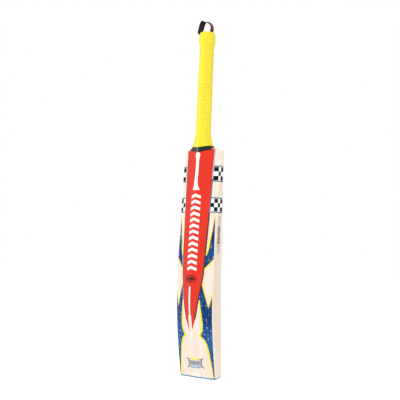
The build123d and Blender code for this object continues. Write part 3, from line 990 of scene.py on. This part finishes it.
# x, y, height above the hinge, twist in degrees
strap_tail = [
    (15.95, 0.0, -36.1, 0.0),
    (15.95, 0.0, -16.5, 0.0),
    (15.6, 0.0, -11.1, 0.0),
    (13.0, 0.0, -9.5, 0.0),
]
strap_eye = [
    (11.5, 0.0, -6.5, 0.0),
    (11.6, 0.0, -2.6, 0.0),
    (13.2, 0.0, 3.6, 0.0),
    (12.8, 0.0, 11.0, 0.0),
    (7.0, 0.2, 19.0, -10.0),
    (-1.0, 0.3, 24.0, -18.0),
    (-8.2, 0.3, 26.2, -12.0),
    (-12.4, 0.2, 26.0, 20.0),
    (-15.8, 0.0, 22.4, 46.0),
    (-18.4, -0.5, 14.0, 54.0),
    (-20.2, -1.0, 5.0, 54.0),
    (-20.6, -1.2, -0.4, 50.0),
    (-18.4, -0.8, -2.4, 40.0),
    (-15.2, 0.0, -1.0, 14.0),
    (-12.6, 0.0, -2.2, 2.0),
    (-11.5, 0.0, -6.5, 0.0),
]
other_tail = [(-x, y, rise, twist) for x, y, rise, twist in reversed(strap_tail)]
route = spline(strap_tail + strap_eye + other_tail, 8)
strap_points, strap_faces, strap_slots = [], [], []
face_size = len(strap_outer)
ring_size = len(strap_ring)
for i, (x, y, rise, twist) in enumerate(route):
    before = Vector(route[max(i - 1, 0)][:3])
    after = Vector(route[min(i + 1, len(route) - 1)][:3])
    heading = (after - before).normalized()
    wide = Vector((0, 1, 0)) - heading * heading.y
    wide.normalize()
    wide.rotate(Matrix.Rotation(math.radians(twist), 3, heading))
    out = wide.cross(heading)
    for across, height in strap_ring:
        spot = Vector((x, y, HINGE + rise)) + wide * across * STRAP_HALF + out * height
        strap_points.append(spot * MM)
MAROON, MAROON_SHADED, BLACK = range(3)
for i, (x, _, rise, _) in enumerate(route[:-1]):
    for j in range(ring_size):
        k = (j + 1) % ring_size
        here, there = i * ring_size, (i + 1) * ring_size
        strap_faces.append([here + j, here + k, there + k, there + j])
        outer = j < face_size
        coloured = 0 < j < face_size - 1 if outer else j - face_size in (3, 4)
        at_root = outer and x > 0 and rise < 0.0
        # the inner face takes a darker copy of the maroon: painted shade for the inside of the loop
        paint = MAROON if outer else MAROON_SHADED
        strap_slots.append(paint if coloured and not at_root else BLACK)
strap_faces.append(list(range(ring_size)))
last_ring = len(strap_points) - ring_size
strap_faces.append(list(reversed(range(last_ring, len(strap_points)))))
strap_slots += [BLACK, BLACK]
strap_materials = [
    webbing("strap_maroon", colour(104, 20, 32), colour(142, 40, 52)),
    # a darker copy of the maroon, painted shade for the loop's inner face
    webbing("strap_maroon_shaded", colour(34, 4, 10), colour(60, 8, 18)),
    webbing("strap_black", colour(14, 13, 14), colour(34, 30, 32)),
]
strap = make_piece("strap_loop", strap_points, strap_faces, strap_materials, strap_slots)
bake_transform(strap)
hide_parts("hang_loop", "loop_tail_right", "loop_tail_left")


# ---------------------------------------------------------------- floor, lights and camera


FLOOR_GLOW = 0.7  # only seen by the camera, so it lights nothing
WORLD_LIGHT = 0.53
WORLD_SEEN = 1.0


def stage_floor():
    """A pale flat sheet under the bat, long enough to fill the view behind it."""
    ground = cad_box[0][2]
    heading = Vector((-0.56, 0.83, 0.0)).normalized()
    sideways = Vector((heading.y, -heading.x, 0.0))
    points = []
    for distance in (-4.0, 40.0):
        for side in (-30.0, 30.0):
            points.append(heading * distance + sideways * side + Vector((0, 0, ground)))
    f = Finish("floor_paper", 0.9, specular=0.1)
    tone = f.mix(f.noise((3.0, 3.0, 3.0)), colour(250, 250, 250), colour(247, 247, 247))
    f.paint(tone)
    seen = f.node("LightPath").outputs["Is Camera Ray"]
    f.wire(f.shader, {"Emission Color": tone, "Emission Strength": f.math("MULTIPLY", seen, FLOOR_GLOW)})
    floor = make_piece("floor", points, [[0, 1, 3, 2]], [f.material])


def softbox(name, place, aim, width, height, power):
    light = bpy.data.lights.new(name, "AREA")
    light.shape = "RECTANGLE"
    light.size = width
    light.size_y = height
    light.energy = power
    lamp = bpy.data.objects.new(name, light)
    lamp.location = place
    lamp.rotation_euler = (Vector(aim) - Vector(place)).to_track_quat("-Z", "Y").to_euler()
    bpy.context.scene.collection.objects.link(lamp)


stage_floor()
middle = (0.0, 0.0, 0.45)
softbox("key", (-1.9, -1.7, 1.3), middle, width=1.0, height=2.0, power=36.0)
softbox("fill", (2.2, -1.2, 0.9), middle, width=0.8, height=2.0, power=26.0)
softbox("top", (0.0, -0.3, 2.6), middle, width=1.6, height=1.6, power=10.0)

world = bpy.data.worlds.new("studio")
world.use_nodes = True
background = world.node_tree.nodes["Background"]
background.inputs["Color"].default_value = (1.0, 1.0, 1.0, 1.0)
path = world.node_tree.nodes.new("ShaderNodeLightPath")
strength = world.node_tree.nodes.new("ShaderNodeMapRange")
strength.inputs["To Min"].default_value = WORLD_LIGHT
strength.inputs["To Max"].default_value = WORLD_SEEN
world.node_tree.links.new(path.outputs["Is Camera Ray"], strength.inputs["Value"])
world.node_tree.links.new(strength.outputs["Result"], background.inputs["Strength"])
bpy.context.scene.world = world
bpy.context.scene.view_settings.view_transform = "Standard"

camera_data = bpy.data.cameras.new("camera")
camera_data.lens = 66.98
camera_data.sensor_width = 36.0
camera = bpy.data.objects.new("camera", camera_data)
right = Vector((0.82862, 0.55816, 0.04310)).normalized()
back = Vector((0.560, -0.824, -0.0855)).normalized()
up = back.cross(right).normalized()
right = up.cross(back)
turned = Matrix((right, up, back)).transposed().to_4x4()
camera.matrix_world = Matrix.Translation((1.0244, -1.5088, 0.2734)) @ turned
bpy.context.scene.collection.objects.link(camera)
bpy.context.scene.camera = camera

bpy.context.view_layer.update()
